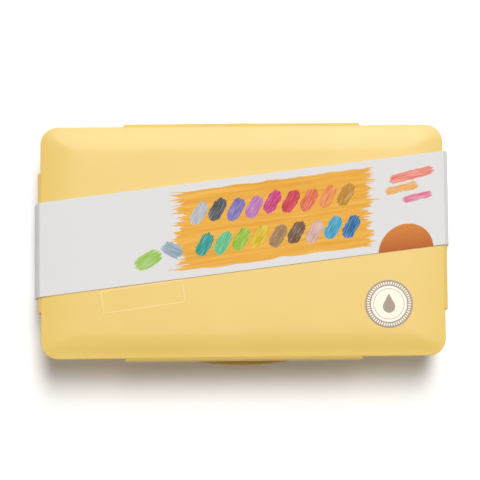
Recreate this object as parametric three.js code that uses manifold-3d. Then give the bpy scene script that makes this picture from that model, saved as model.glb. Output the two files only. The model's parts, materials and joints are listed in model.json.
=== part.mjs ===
// Paint case: a shallow plastic tub with a lift-off lid, four swinging latches, a tray of
// eighteen paint cups, a brush trough with three brushes, a mixing palette and a paper sleeve.
// Millimetres, +Z up. The origin is the middle of the footprint, at the height of the surface
// that the case lies on. +X runs along the long side and -Y is the front.
import * as THREE from "three";
import { mergeVertices } from "three/addons/utils/BufferGeometryUtils.js";
import Module from "manifold-3d";

const wasm = await Module();
wasm.setup();

// Clearances
const gap = 0.3; // between pieces that rest on or stand beside each other
const overrun = 0.4; // how far a joined or cut shape runs past its neighbour's face
const glueLine = 0.05; // between pieces that are stuck together

// Cup grid and tray
const columns = 6;
const rows = 3;
const socketLength = 35;
const socketWidth = 31.8;
const gridBar = 4.5;
const trayEndMargin = 6.5;
const trayBackMargin = 5;
const trayFrontMargin = 4.6;
const trayThickness = 1.4;
const trayCornerRadius = 6.3;
const socketCornerRadius = 4.2;
const collarWall = 1;
const collarDepth = 5;

// Cups and paint
const cupDepth = 31;
const cupWall = 0.8;
const cupTaper = 2.6;
const cupPlay = 0.4;
const cupFlange = 1.5;
const cupFlangeThickness = 0.8;
const cupFootRound = 1.6;
const cupFloorGap = 1.5;
const paintLevelDrop = 2.4;
const paintPlay = 0.12;
const paintDish = 0.5;
const paintRim = 3;

// Brushes and their trough
const brushCount = 3;
const handleDiameter = 5.4;
const handleLength = 128;
const ferruleLength = 27;
const hairLength = 17;
const brushPlay = 0.45;
const troughDepth = 14;
const troughWall = 1.2;
const troughDraft = 0.35;

// Base tub
const footHeight = 1;
const footWidth = 2.4;
const floorThickness = 1.8;
const baseWall = 1.8;
const baseTaper = 1.6;
const baseFootRound = 0.8;
const ledgeWidth = 1.5;
const rimWall = 1.8;
const rimStand = 0.7;
const rimHeight = 3.2;
const baseFlangeThickness = 2.2;
const baseFlangeInset = 0.15;

// Lid and gasket
const skirtGap = 0.8;
const skirtWall = 1.8;
const skirtClearance = 0.5;
const lidTopThickness = 2;
const lidHeadroom = 1.6;
const lidEdgeRound = 0.6;
const lidCamber = 1.8;
const lidCamberWidth = 18;
const tightestCorner = 1.5;
const gasketHeight = 2.5;
const gasketInnerLap = 0.8;
const gasketPlay = 0.4;
const gasketRound = 0.7;
const gasketRibWall = 1.2;
const gasketRibOverlap = 1.2;

// Latches
const longLatchLength = 150;
const shortLatchLength = 89;
const latchThickness = 1.2;
const latchDrop = 18;
const latchEndChamfer = 1.1;
const hingeRadius = 0.8;
const hingeBelowLidTop = 4.2;
const beadHeight = 2.2;
const beadLead = 0.9;
const barrelShare = 0.8; // how far round its inner side the hinge's arc runs
const longLipSpan = 61;
const shortLipSpan = 49;
const lipReach = 2.6;
const lipThickness = 1.5;

// Palette
const paletteHeight = 4.5;
const paletteWall = 1.2;
const paletteFloor = 1.2;
const paletteSideGap = 0.6;
const paletteDraft = 0.5;
const paletteStripWidth = 26;

// Round sticker on the lid
const stickerRadius = 15.1;
const stickerThickness = 0.15;
const stickerFromEnd = 35.8;
const stickerFromFront = 32.8;

// Paper sleeve
const paper = 0.4;
const sleeveWidth = 59.5;
const sleeveCentre = 11.1;
const sleeveLean = 0.1208; // how far the band climbs towards the back, per unit of length
const sleeveLipGap = 0.4;
const sleeveEdgeGap = 0.35;
const sleeveTautShare = 0.6; // where the band leaves the lid's crown, as a share of its width

// Facets
const caseCornerSteps = 6;
const cupCornerSteps = 2;
const arcSteps = 8;
const lipSteps = 12;
const brushSides = 12;
const stickerSides = 40;

// Heights, from the surface upwards
const baseBottom = paper + gap;
const floorUnder = baseBottom + footHeight;
const floorTop = floorUnder + floorThickness;
const cupBottom = floorTop + cupFloorGap;
const cupTop = cupBottom + cupDepth;
const cupFlangeUnder = cupTop - cupFlangeThickness;
const trayTop = cupFlangeUnder - gap;
const trayUnder = trayTop - trayThickness;
const ledge = trayUnder - gap;
const rimTop = cupTop + rimStand;
const baseFlangeTop = rimTop - rimHeight;
const baseFlangeUnder = baseFlangeTop - baseFlangeThickness;
const skirtUnder = baseFlangeTop + skirtClearance;
const gasketUnder = rimTop + gap;
const channelCeiling = gasketUnder + gasketHeight + gap;
const paletteUnder = cupTop + gap;
const ceiling = paletteUnder + paletteHeight + lidHeadroom;
const lidTop = ceiling + lidTopThickness;
const lidEdgeTop = lidTop - lidCamber;
const foldUnder = lidEdgeTop + paper;
const hingeHeight = lidTop - hingeBelowLidTop;
const latchFoot = hingeHeight - latchDrop;

// Outlines, as distances out from the tray's edge
const rimInner = gap;
const rimOuter = rimInner + rimWall;
const skirtInner = rimOuter + skirtGap;
const lidEdge = skirtInner + skirtWall;
const baseFlangeEdge = lidEdge - baseFlangeInset;
const lowerWallInner = rimInner - ledgeWidth;
const lowerWallOuter = lowerWallInner + baseWall;
const footOuter = lowerWallOuter - baseTaper;
const gasketInner = rimInner - gasketInnerLap;
const gasketOuter = skirtInner - gasketPlay;
const ribOuter = gasketInner - gasketPlay;
const ribInner = ribOuter - gasketRibWall;
const paletteEdge = ribInner - paletteSideGap;
const hingeOut = lidEdge + gap + hingeRadius;
const latchFace = hingeOut + hingeRadius;
const lipEdge = latchFace + lipReach;

// Plan sizes
const gridLength = columns * socketLength + (columns - 1) * gridBar;
const gridWidth = rows * socketWidth + (rows - 1) * gridBar;
const brushPitch = handleDiameter + brushPlay;
const troughWidth = brushCount * brushPitch + brushPlay + 2 * troughDraft;
const trayLength = gridLength + 2 * trayEndMargin;
const trayWidth = trayBackMargin + gridWidth + gridBar + troughWidth + trayFrontMargin;
const troughCentre = -trayWidth / 2 + trayFrontMargin + troughWidth / 2;
const gridCentre = trayWidth / 2 - trayBackMargin - gridWidth / 2;
const troughFloor = trayTop - troughDepth;

// Colours as seen in daylight
const caseYellow = new THREE.MeshStandardMaterial({ color: 0xf1cf77, roughness: 0.5 });
const sealRubber = new THREE.MeshStandardMaterial({ color: 0xe9e4d6, roughness: 0.7 });
const cupClear = new THREE.MeshStandardMaterial({ color: 0xe9eef0, roughness: 0.15 });
const paletteYellow = new THREE.MeshStandardMaterial({ color: 0xf4dc97, roughness: 0.4 });
const paperGrey = new THREE.MeshStandardMaterial({ color: 0xe4e3e0, roughness: 0.6 });
const stickerTaupe = new THREE.MeshStandardMaterial({ color: 0xd8c9b4, roughness: 0.35 });
const handleWood = new THREE.MeshStandardMaterial({ color: 0xd9b483, roughness: 0.45 });
const ferruleMetal = new THREE.MeshStandardMaterial({
  color: 0xc9ccd0,
  roughness: 0.25,
  metalness: 1,
});
const hairBrown = new THREE.MeshStandardMaterial({ color: 0x8a5a34, roughness: 0.8 });
// One colour for each cup, from the back row to the front and from left to right
const paintColours = [
  0xc9c9cc, 0x4fb0a8, 0x2f86b4, 0xd9568c, 0x8a6a4e, 0xb4946c,
  0xe3c6b8, 0x86cfa4, 0x5bb4cf, 0xd94f5a, 0xec8460, 0xc79a2e,
  0x55585c, 0xa6cf55, 0x9485bd, 0xc993c4, 0xeea065, 0xe6c62c,
];

// Corners of a rounded rectangle, anticlockwise from above.
function roundedOutline(length, width, radius, steps) {
  const points = [];
  const corners = [[1, 1], [-1, 1], [-1, -1], [1, -1]];
  corners.forEach(([alongX, alongY], quarter) => {
    for (let step = 0; step <= steps; step++) {
      const angle = ((quarter + step / steps) * Math.PI) / 2;
      const x = alongX * (length / 2 - radius) + radius * Math.cos(angle);
      const y = alongY * (width / 2 - radius) + radius * Math.sin(angle);
      points.push(new THREE.Vector2(x, y));
    }
  });
  return points;
}

// One level of a case part: the tray's outline, moved out by a distance, at a height.
function caseRing(out, z) {
  const radius = Math.max(trayCornerRadius + out, tightestCorner);
  return {
    points: roundedOutline(trayLength + 2 * out, trayWidth + 2 * out, radius, caseCornerSteps),
    z,
  };
}

// One level of a cup part, around the cup's own middle.
function cupRing(out, z) {
  const radius = Math.max(socketCornerRadius + out, cupWall);
  return {
    points: roundedOutline(socketLength + 2 * out, socketWidth + 2 * out, radius, cupCornerSteps),
    z,
  };
}

// A solid through rings of equal point counts. It starts with a face that looks down and ends
// with one that looks up, or runs round to its first ring again where it is looped.
function ringSolid(rings, looped = false) {
  const count = rings[0].points.length;
  const positions = [];
  const triangles = [];
  for (const ring of rings) {
    for (const point of ring.points) positions.push(point.x, point.y, ring.z);
  }
  const bands = looped ? rings.length : rings.length - 1;
  for (let band = 0; band < bands; band++) {
    const low = band * count;
    const high = ((band + 1) % rings.length) * count;
    for (let i = 0; i < count; i++) {
      const next = (i + 1) % count;
      triangles.push(low + i, low + next, high + next, low + i, high + next, high + i);
    }
  }
  if (!looped) {
    const last = (rings.length - 1) * count;
    for (let i = 1; i < count - 1; i++) {
      triangles.push(0, i + 1, i, last, last + i, last + i + 1);
    }
  }
  const geometry = new THREE.BufferGeometry();
  geometry.setAttribute("position", new THREE.Float32BufferAttribute(positions, 3));
  geometry.setIndex(triangles);
  return geometry;
}

function toSolid(geometry) {
  const bare = geometry.clone();
  bare.deleteAttribute("normal");
  bare.deleteAttribute("uv");
  const merged = mergeVertices(bare);
  return new wasm.Manifold(
    new wasm.Mesh({
      numProp: 3,
      vertProperties: merged.attributes.position.array,
      triVerts: new Uint32Array(merged.index.array),
    }),
  );
}

function toGeometry(solid) {
  const mesh = solid.getMesh();
  const geometry = new THREE.BufferGeometry();
  geometry.setAttribute("position", new THREE.BufferAttribute(mesh.vertProperties, 3));
  geometry.setIndex(new THREE.BufferAttribute(mesh.triVerts, 1));
  return geometry;
}

// A flat shape pushed up by a height, from a list of points and lists of points for its holes.
function plate(points, height, holes = []) {
  const shape = new THREE.Shape(points);
  shape.holes = holes.map((hole) => new THREE.Path(hole));
  return new THREE.ExtrudeGeometry(shape, { depth: height, bevelEnabled: false });
}

function shifted(points, x, y) {
  return points.map((point) => new THREE.Vector2(point.x + x, point.y + y));
}

// The middle of each socket, from the back row to the front and from left to right.
function socketCentres() {
  const centres = [];
  for (let row = 0; row < rows; row++) {
    for (let column = 0; column < columns; column++) {
      centres.push([
        -gridLength / 2 + socketLength / 2 + column * (socketLength + gridBar),
        gridCentre + gridWidth / 2 - socketWidth / 2 - row * (socketWidth + gridBar),
      ]);
    }
  }
  return centres;
}

// The tub: foot ring, tapered wall, outer flange for the latches, rim, and a ledge for the tray.
function baseShell() {
  const bottomEdge = footOuter - baseFootRound;
  return ringSolid([
    caseRing(bottomEdge - footWidth, floorUnder),
    caseRing(bottomEdge - footWidth, baseBottom),
    caseRing(bottomEdge, baseBottom),
    caseRing(footOuter, baseBottom + baseFootRound),
    caseRing(lowerWallOuter, baseFlangeUnder),
    caseRing(baseFlangeEdge, baseFlangeUnder),
    caseRing(baseFlangeEdge, baseFlangeTop),
    caseRing(rimOuter, baseFlangeTop),
    caseRing(rimOuter, rimTop),
    caseRing(rimInner, rimTop),
    caseRing(rimInner, ledge),
    caseRing(lowerWallInner, ledge),
    caseRing(lowerWallInner - baseTaper, floorTop),
  ]);
}

// The brush trough's outline at its mouth, moved in by a distance.
function troughRing(inset, z) {
  const radius = Math.max(socketCornerRadius - inset, cupWall);
  const outline = roundedOutline(
    gridLength - 2 * inset,
    troughWidth - 2 * inset,
    radius,
    cupCornerSteps,
  );
  return { points: shifted(outline, 0, troughCentre), z };
}

// The tray: a plate with a collared socket for each cup, and the trough below its front edge.
function cupTray() {
  const socket = roundedOutline(socketLength, socketWidth, socketCornerRadius, cupCornerSteps);
  const mouth = troughRing(0, trayTop).points;
  const holes = socketCentres().map(([x, y]) => shifted(socket, x, y));
  const top = plate(caseRing(0, trayTop).points, trayThickness, [...holes, mouth]);
  let solid = toSolid(top.translate(0, 0, trayUnder));
  const collar = ringSolid(
    [
      cupRing(0, trayUnder - collarDepth),
      cupRing(collarWall, trayUnder - collarDepth),
      cupRing(collarWall, trayUnder + trayThickness / 2),
      cupRing(0, trayUnder + trayThickness / 2),
    ],
    true,
  );
  for (const [x, y] of socketCentres()) {
    solid = solid.add(toSolid(collar.clone().translate(x, y, 0)));
  }
  const trough = ringSolid([
    troughRing(troughDraft - troughWall, troughFloor - troughWall),
    troughRing(-troughWall, trayUnder + trayThickness / 2),
    troughRing(0, trayUnder + trayThickness / 2),
    troughRing(troughDraft, troughFloor),
  ]);
  return toGeometry(solid.add(toSolid(trough)));
}

// A clear square cup that hangs in its socket by its flange.
function paintCup() {
  const body = -cupPlay;
  const foot = body - cupTaper;
  return ringSolid([
    cupRing(foot - cupFootRound, cupBottom),
    cupRing(foot, cupBottom + cupFootRound),
    cupRing(body, cupFlangeUnder),
    cupRing(cupFlange, cupFlangeUnder),
    cupRing(cupFlange, cupTop),
    cupRing(body - cupWall, cupTop),
    cupRing(foot - cupWall, cupBottom + cupFootRound),
    cupRing(foot - cupWall - cupFootRound, cupBottom + cupWall),
  ]);
}

// The paint that fills a cup, slightly dished on top.
function paintFill() {
  const level = cupTop - paintLevelDrop;
  const inside = -cupPlay - cupWall - paintPlay;
  const taperHere = (cupTaper * paintLevelDrop) / cupDepth;
  return ringSolid([
    cupRing(inside - cupTaper - cupFootRound, cupBottom + cupWall + paintPlay),
    cupRing(inside - cupTaper, cupBottom + cupFootRound + paintPlay),
    cupRing(inside - taperHere, level),
    cupRing(inside - taperHere - paintRim, level - paintDish),
  ]);
}

// The lid's crown, from its edge inwards: how far in and how far up, as shares. It climbs
// steadily from the edge, and levels out a long way in.
const crownShares = [
  [0, 0], [0.15, 0.15], [0.28, 0.34], [0.42, 0.57], [0.6, 0.79], [0.8, 0.95], [1, 1],
];

// How far out from the tray's edge a point of the crown lies, and at what height.
function crownPoint([inward, upward]) {
  const width = lidCamberWidth - lidEdgeRound;
  return [lidEdge - lidEdgeRound - width * inward, lidEdgeTop + lidCamber * upward];
}

// The lid: a flat top with a soft crown round it, a skirt, and a channel for the gasket.
function lidShell() {
  return ringSolid([
    caseRing(ribInner, ceiling),
    caseRing(ribInner, gasketUnder + gasketRibOverlap),
    caseRing(ribOuter, gasketUnder + gasketRibOverlap),
    caseRing(ribOuter, channelCeiling),
    caseRing(skirtInner, channelCeiling),
    caseRing(skirtInner, skirtUnder),
    caseRing(lidEdge, skirtUnder),
    caseRing(lidEdge, lidEdgeTop - lidEdgeRound),
    ...crownShares.map((shares) => caseRing(...crownPoint(shares))),
  ]);
}

// The soft seal that the lid presses on the tub's rim.
function lidGasket() {
  const top = gasketUnder + gasketHeight;
  return ringSolid(
    [
      caseRing(gasketInner, gasketUnder + gasketRound),
      caseRing(gasketInner + gasketRound, gasketUnder),
      caseRing(gasketOuter - gasketRound, gasketUnder),
      caseRing(gasketOuter, gasketUnder + gasketRound),
      caseRing(gasketOuter, top),
      caseRing(gasketInner, top),
    ],
    true,
  );
}

// The side view of a latch: out from the hinge axis, and up. The bead on its inner face sits
// just below the tub's flange.
function latchProfile() {
  const inner = hingeRadius - latchThickness;
  const beadTop = baseFlangeUnder - gap - hingeHeight;
  const beadTip = baseFlangeEdge + gap - hingeOut;
  const points = [new THREE.Vector2(hingeRadius, -latchDrop)];
  const sweep = Math.PI + Math.acos(-inner / hingeRadius) * barrelShare;
  for (let step = 0; step <= arcSteps; step++) {
    const angle = (sweep * step) / arcSteps;
    points.push(new THREE.Vector2(Math.cos(angle), Math.sin(angle)).multiplyScalar(hingeRadius));
  }
  points.push(
    new THREE.Vector2(inner, -hingeRadius),
    new THREE.Vector2(inner, beadTop),
    new THREE.Vector2(beadTip, beadTop),
    new THREE.Vector2(beadTip, beadTop - beadHeight + beadLead),
    new THREE.Vector2(inner, beadTop - beadHeight),
    new THREE.Vector2(inner, -latchDrop),
  );
  return points;
}

// A crescent that stands out from a latch's face, for the thumb.
function lipOutline(span) {
  const radius = (span ** 2 / 4 + lipReach ** 2) / (2 * lipReach);
  const halfAngle = Math.asin(span / 2 / radius);
  const points = [];
  for (let step = 0; step <= lipSteps; step++) {
    const angle = halfAngle * ((2 * step) / lipSteps - 1);
    const out = hingeRadius + lipReach - radius + radius * Math.cos(angle);
    points.push(new THREE.Vector2(radius * Math.sin(angle), -out));
  }
  const root = -hingeRadius + overrun;
  points.push(new THREE.Vector2(span / 2, root), new THREE.Vector2(-span / 2, root));
  return points;
}

// A latch for the front side, with its hinge axis along X through the origin.
function latch(length, lipSpan) {
  const bar = plate(latchProfile(), length);
  const frontwards = new THREE.Matrix4().makeBasis(
    new THREE.Vector3(0, -1, 0),
    new THREE.Vector3(0, 0, 1),
    new THREE.Vector3(-1, 0, 0),
  );
  bar.applyMatrix4(frontwards).translate(length / 2, 0, 0);
  const end = length / 2;
  const outer = -hingeRadius;
  const trim = plate(
    [
      new THREE.Vector2(-end, -outer + overrun),
      new THREE.Vector2(-end, outer + latchEndChamfer),
      new THREE.Vector2(-end + latchEndChamfer + overrun, outer - overrun),
      new THREE.Vector2(end - latchEndChamfer - overrun, outer - overrun),
      new THREE.Vector2(end, outer + latchEndChamfer),
      new THREE.Vector2(end, -outer + overrun),
    ],
    latchDrop + 2 * (hingeRadius + overrun),
  ).translate(0, 0, -latchDrop - overrun);
  const lip = plate(lipOutline(lipSpan), lipThickness).translate(0, 0, -latchDrop);
  return toGeometry(toSolid(bar).intersect(toSolid(trim)).add(toSolid(lip)));
}

// A shallow mixing tray that also covers the cups, with a strip parted off along its front.
function palette() {
  const inside = paletteEdge - paletteWall;
  const dish = ringSolid([
    caseRing(paletteEdge - paletteDraft, paletteUnder),
    caseRing(paletteEdge, paletteUnder + paletteDraft),
    caseRing(paletteEdge, paletteUnder + paletteHeight),
    caseRing(inside, paletteUnder + paletteHeight),
    caseRing(inside - paletteDraft, paletteUnder + paletteFloor),
  ]);
  const dividerHeight = (paletteHeight - paletteFloor) / 2;
  const divider = new THREE.BoxGeometry(
    trayLength + 2 * inside + paletteWall,
    paletteWall,
    dividerHeight + paletteFloor / 2,
  );
  divider.translate(
    0,
    -trayWidth / 2 - inside + paletteStripWidth,
    paletteUnder + paletteFloor / 2 + (dividerHeight + paletteFloor / 2) / 2,
  );
  return toGeometry(toSolid(dish).add(toSolid(divider)));
}

// A turned piece along X, from pairs of length and radius.
function turned(profile) {
  const points = profile.map(([along, radius]) => new THREE.Vector2(radius, along));
  return new THREE.LatheGeometry(points, brushSides).rotateZ(-Math.PI / 2);
}

// The handle swells near its front and thins to a rounded tail, in shares of its sizes.
const handleShares = [
  [0, 0], [0, 0.3], [0.02, 0.5], [0.3, 0.62], [0.62, 0.9], [0.76, 1], [0.9, 0.92], [1, 0.8], [1, 0],
];
const ferruleShares = [[0, 0], [0, 0.84], [0.12, 0.84], [0.5, 0.8], [1, 0.7], [1, 0]];
const hairShares = [[0, 0], [0, 0.62], [0.35, 0.66], [0.75, 0.42], [1, 0.06], [1, 0]];
// Each brush's own hair: how long, how wide and how thick, as shares of the first brush's
const brushHairShares = [[1, 1, 1], [0.85, 1.15, 0.5], [0.8, 0.6, 0.6]];

function brushPart(shares, length) {
  return turned(shares.map(([along, out]) => [along * length, (out * handleDiameter) / 2]));
}

// A bent strip of paper: a line of points, thickened to its left, with mitred folds.
function paperStrip(points) {
  const outer = points.map((point, i) => {
    const arriving = point.clone().sub(points[i - 1] ?? point).normalize();
    const leaving = (points[i + 1] ?? point).clone().sub(point).normalize();
    if (i === 0) arriving.copy(leaving);
    if (i === points.length - 1) leaving.copy(arriving);
    const along = arriving.add(leaving).normalize();
    const reach = paper / along.dot(leaving);
    return new THREE.Vector2(point.x - along.y * reach, point.y + along.x * reach);
  });
  return plate([...points, ...outer.reverse()], sleeveWidth);
}

// Stands a strip on edge across the case, then moves it back as it goes right, so that the
// band runs at a slant.
function sleevePanel(points, side = 1) {
  const panel = paperStrip(points).rotateX(Math.PI / 2).translate(0, sleeveWidth / 2, 0);
  if (side < 0) panel.rotateZ(Math.PI);
  const slant = new THREE.Matrix4().makeShear(sleeveLean, 0, 0, 0, 0, 0);
  return panel.applyMatrix4(slant).translate(0, sleeveCentre, 0);
}

// The band's face, flat on the lid and pulled down over its crown to both short edges.
function sleeveTop() {
  const edge = trayLength / 2;
  const right = crownShares
    .filter(([inward]) => inward >= sleeveTautShare)
    .map(crownPoint)
    .map(([out, height]) => new THREE.Vector2(edge + out, height + gap))
    .reverse();
  right.push(new THREE.Vector2(edge + lidEdge + sleeveEdgeGap + paper - gap, foldUnder));
  const left = right.map((point) => new THREE.Vector2(-point.x, point.y)).reverse();
  return sleevePanel([...left, ...right]);
}

// The upper part of one end: from the lid's edge out over the latch and past its lip.
function sleeveEnd(side) {
  const edge = trayLength / 2;
  return sleevePanel(
    [
      new THREE.Vector2(edge + lipEdge + sleeveLipGap, latchFoot - gap),
      new THREE.Vector2(edge + lipEdge + sleeveLipGap, latchFoot + lipThickness + gap),
      new THREE.Vector2(edge + latchFace + gap, hingeHeight + hingeRadius),
      new THREE.Vector2(edge + lidEdge + sleeveEdgeGap, foldUnder - gap),
    ].reverse(),
    side,
  );
}

// The rest of the band: under the tub, with both ends turned up as far as the lips.
function sleeveBottom() {
  const foot = trayLength / 2 + footOuter + gap;
  const lip = trayLength / 2 + lipEdge + sleeveLipGap;
  return sleevePanel(
    [
      new THREE.Vector2(-lip, latchFoot - 2 * gap),
      new THREE.Vector2(-foot, paper),
      new THREE.Vector2(foot, paper),
      new THREE.Vector2(lip, latchFoot - 2 * gap),
    ].reverse(),
  );
}

const group = new THREE.Group();

function addPart(name, geometry, material, place = [0, 0, 0], turn = 0) {
  const mesh = new THREE.Mesh(geometry, material);
  mesh.name = name;
  mesh.position.set(...place);
  mesh.rotation.z = turn;
  group.add(mesh);
  return mesh;
}

addPart("base_shell", baseShell(), caseYellow);
addPart("cup_tray", cupTray(), caseYellow);

const cupShape = paintCup();
const paintShape = paintFill();
socketCentres().forEach(([x, y], i) => {
  const number = String(i + 1).padStart(2, "0");
  const paint = new THREE.MeshStandardMaterial({ color: paintColours[i], roughness: 0.3 });
  addPart("cup_" + number, cupShape, cupClear, [x, y, 0]);
  addPart("paint_" + number, paintShape, paint, [x, y, 0]);
});

const brushHeight = troughFloor + gap + handleDiameter / 2;
const ferruleStart = handleLength + glueLine;
const hairStart = ferruleStart + ferruleLength + glueLine;
const brushStart = -(hairStart + hairLength) / 2;
brushHairShares.forEach(([long, wide, thick], i) => {
  const y = troughCentre + (i - (brushCount - 1) / 2) * brushPitch;
  const name = "brush_" + (i + 1);
  addPart(name + "_handle", brushPart(handleShares, handleLength), handleWood, [
    brushStart, y, brushHeight,
  ]);
  addPart(name + "_ferrule", brushPart(ferruleShares, ferruleLength), ferruleMetal, [
    brushStart + ferruleStart, y, brushHeight,
  ]);
  const hair = brushPart(hairShares, hairLength * long).scale(1, wide, thick);
  addPart(name + "_hair", hair, hairBrown, [brushStart + hairStart, y, brushHeight]);
});

addPart("palette", palette(), paletteYellow);

addPart("lid_shell", lidShell(), caseYellow);
addPart("lid_gasket", lidGasket(), sealRubber);
const sticker = new THREE.CylinderGeometry(
  stickerRadius,
  stickerRadius,
  stickerThickness,
  stickerSides,
);
addPart("lid_sticker", sticker.rotateX(Math.PI / 2), stickerTaupe, [
  trayLength / 2 + lidEdge - stickerFromEnd,
  -trayWidth / 2 - lidEdge + stickerFromFront,
  lidTop + glueLine + stickerThickness / 2,
]);

const longLatch = latch(longLatchLength, longLipSpan);
const shortLatch = latch(shortLatchLength, shortLipSpan);
const hingeAcross = trayWidth / 2 + hingeOut;
const hingeAlong = trayLength / 2 + hingeOut;
const quarterTurn = Math.PI / 2;
addPart("latch_front", longLatch, caseYellow, [0, -hingeAcross, hingeHeight]);
addPart("latch_right", shortLatch, caseYellow, [hingeAlong, 0, hingeHeight], quarterTurn);
addPart("latch_back", longLatch, caseYellow, [0, hingeAcross, hingeHeight], 2 * quarterTurn);
addPart("latch_left", shortLatch, caseYellow, [-hingeAlong, 0, hingeHeight], -quarterTurn);

addPart("sleeve_top", sleeveTop(), paperGrey);
addPart("sleeve_right", sleeveEnd(1), paperGrey);
addPart("sleeve_left", sleeveEnd(-1), paperGrey);
addPart("sleeve_bottom", sleeveBottom(), paperGrey);

export default group;
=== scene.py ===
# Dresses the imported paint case: moulded yellow plastic, a printed card sleeve, clear cups of wet
# paint, a mixing palette and wooden brushes. Lengths are in metres in the frame's own axes, with
# +X to the right, +Y to the back and +Z up.
import json
import math
import random

import bmesh
import bpy
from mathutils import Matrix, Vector


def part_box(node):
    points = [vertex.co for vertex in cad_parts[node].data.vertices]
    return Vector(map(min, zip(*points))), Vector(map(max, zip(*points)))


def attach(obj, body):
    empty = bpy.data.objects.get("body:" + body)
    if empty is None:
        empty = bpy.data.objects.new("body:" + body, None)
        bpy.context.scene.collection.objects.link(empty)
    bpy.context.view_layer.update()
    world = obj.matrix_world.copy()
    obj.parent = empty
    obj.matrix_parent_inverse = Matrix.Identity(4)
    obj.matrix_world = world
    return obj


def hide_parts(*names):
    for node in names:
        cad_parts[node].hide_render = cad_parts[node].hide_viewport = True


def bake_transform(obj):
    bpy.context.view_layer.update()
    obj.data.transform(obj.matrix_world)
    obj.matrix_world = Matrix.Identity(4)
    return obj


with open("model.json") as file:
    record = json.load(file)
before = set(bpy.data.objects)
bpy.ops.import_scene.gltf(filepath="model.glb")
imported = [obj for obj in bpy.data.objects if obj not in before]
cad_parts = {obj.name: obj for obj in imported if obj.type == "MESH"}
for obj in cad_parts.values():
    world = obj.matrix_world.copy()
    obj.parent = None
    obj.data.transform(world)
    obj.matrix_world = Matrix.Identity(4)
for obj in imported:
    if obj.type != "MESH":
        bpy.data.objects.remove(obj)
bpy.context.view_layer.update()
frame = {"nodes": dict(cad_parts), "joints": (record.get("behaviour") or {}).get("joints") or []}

MM = 0.001

# Sizes of the case, from the frame
lid_low, lid_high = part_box("lid_shell")
half_length = lid_high.x
half_width = lid_high.y
end_low, end_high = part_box("sleeve_right")
tail_low, tail_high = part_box("sleeve_bottom")
latch_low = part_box("latch_right")[0]
joint_places = {joint["name"]: joint.get("pos_m") for joint in frame["joints"]}
side_headings = {"front": (0, -1, 0), "right": (1, 0, 0), "back": (0, 1, 0), "left": (-1, 0, 0)}

# Lid
lid_corner = 11 * MM
tightest_corner = 2.5 * MM
skirt_wall = 1.8 * MM
top_thickness = 2 * MM
crown_height = 1.8 * MM
crown_width = 18 * MM
crown_end_width = 26 * MM
crown_shares = [
    (0, 0), (0.15, 0.15), (0.28, 0.34), (0.42, 0.57), (0.6, 0.79), (0.8, 0.95), (1, 1),
]
edge_round = 0.6 * MM
hem_round = 0.35 * MM
rib_inset = 6.8 * MM
rib_wall = 1.2 * MM
rib_height = 4.2 * MM
channel_depth = 5.8 * MM
edge_top = lid_high.z - crown_height

# Gasket
gasket_low, gasket_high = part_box("lid_gasket")
gasket_width = 3 * MM
gasket_round = 0.7 * MM

# Latches, and the webs that join them to the lid, as distances out from the lid's side and
# heights above the hinge's axis
barrel_radius = 0.8 * MM
lip_thickness = 1.5 * MM
web_end = 0.7 * MM
web_thickness = 0.3 * MM
web_round = 2 * MM
web_line = [(-0.2, 2.1), (0.25, 1.95), (0.75, 1.74), (1.2, 1.38), (1.6, 0.85), (1.86, 0.1)]

# Paper sleeve. The fold's heading is in X and Z, and the barrel's bends are degrees above level
card = 0.4 * MM
band_width = 59.5 * MM
band_centre = 11.1 * MM
band_lean = 0.1208
band_gap = 0.3 * MM
taut_share = 0.6
fold_out = 0.35 * MM
fold_lift = 0.3 * MM
fold_reach = 7 * MM
face_end = half_length - fold_reach
fold_round = 0.35 * MM
barrel_bends = (60, 15)
tub_foot = 122.05 * MM
bare_stretch = 200 * MM
seam = 0.135 * MM
flap_out = end_high.x - card

# Paint fills: the foot as shares of a cup's size and height, then the stirred top
fill_corner = 3.2 * MM
fill_foot = [(0.82, 0.0), (0.9, 0.04), (0.93, 0.1), (1.0, 1.0)]
fill_dip = 0.7 * MM
swirl_depth = 0.42 * MM
swirl_winding = 13
swirl_turn = 2.4
swirl_rings = 18

# How the fill's dip, and the swirl's height, die away towards the walls and the middle
dip_power = 3
wall_power = 6
fade_reach = 0.86
fade_start = 0.12
fade_power = 0.8

# Brushes, as shares of each part's length and half thickness
handle_shares = [
    (0, 0.05), (0.004, 0.3), (0.02, 0.46), (0.3, 0.62), (0.62, 0.9), (0.76, 1), (0.9, 0.92),
    (0.985, 0.82), (1, 0.78),
]
ferrule_shares = [
    (0, 0.97), (0.05, 1), (0.1, 1), (0.115, 0.95), (0.14, 0.95), (0.155, 1), (0.2, 1),
    (0.215, 0.95), (0.24, 0.95), (0.255, 0.995), (0.6, 0.93), (0.97, 0.84), (1, 0.82),
]
least_share = 0.01
hair_shares = [
    (0, 0.86), (0.1, 0.93), (0.2, 0.98), (0.3, 0.99), (0.45, 0.9), (0.6, 0.79), (0.8, 0.6),
    (1, 0.45),
]
hair_strands = 110
hair_bundle = 0.88
hair_thickness = 0.11
hair_taper = 0.85
hair_dome = 0.22
hair_uneven = 0.05

# Light, with heights and spread in degrees
key_heights = (58, 67, 76)
key_lean = 0.09
key_strength = 2.87
key_spread = 20
fill_strength = 0.2
ceiling_strength = 0.1
ceiling_start = 0.85
ceiling_end = 1
floor_lift = 0.07
floor_reach = 6

# Camera, with its turn in degrees, and lens and sensor in millimetres
camera_place = (-0.02735, -0.09275, 1.243)
camera_turn = (4.470, -1.173, -0.619)
camera_lens = 143
camera_sensor = 36

# Smoothness
corner_steps = 18
crown_steps = 30
round_steps = 5
fold_steps = 6
web_round_steps = 3
web_columns = 12
band_lines = 9
face_steps = 8
fill_corner_steps = 10
handle_steps = 5
turned_sides = 28
strand_sides = 5
strand_stations = 7
bevel_steps = 2

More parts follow.
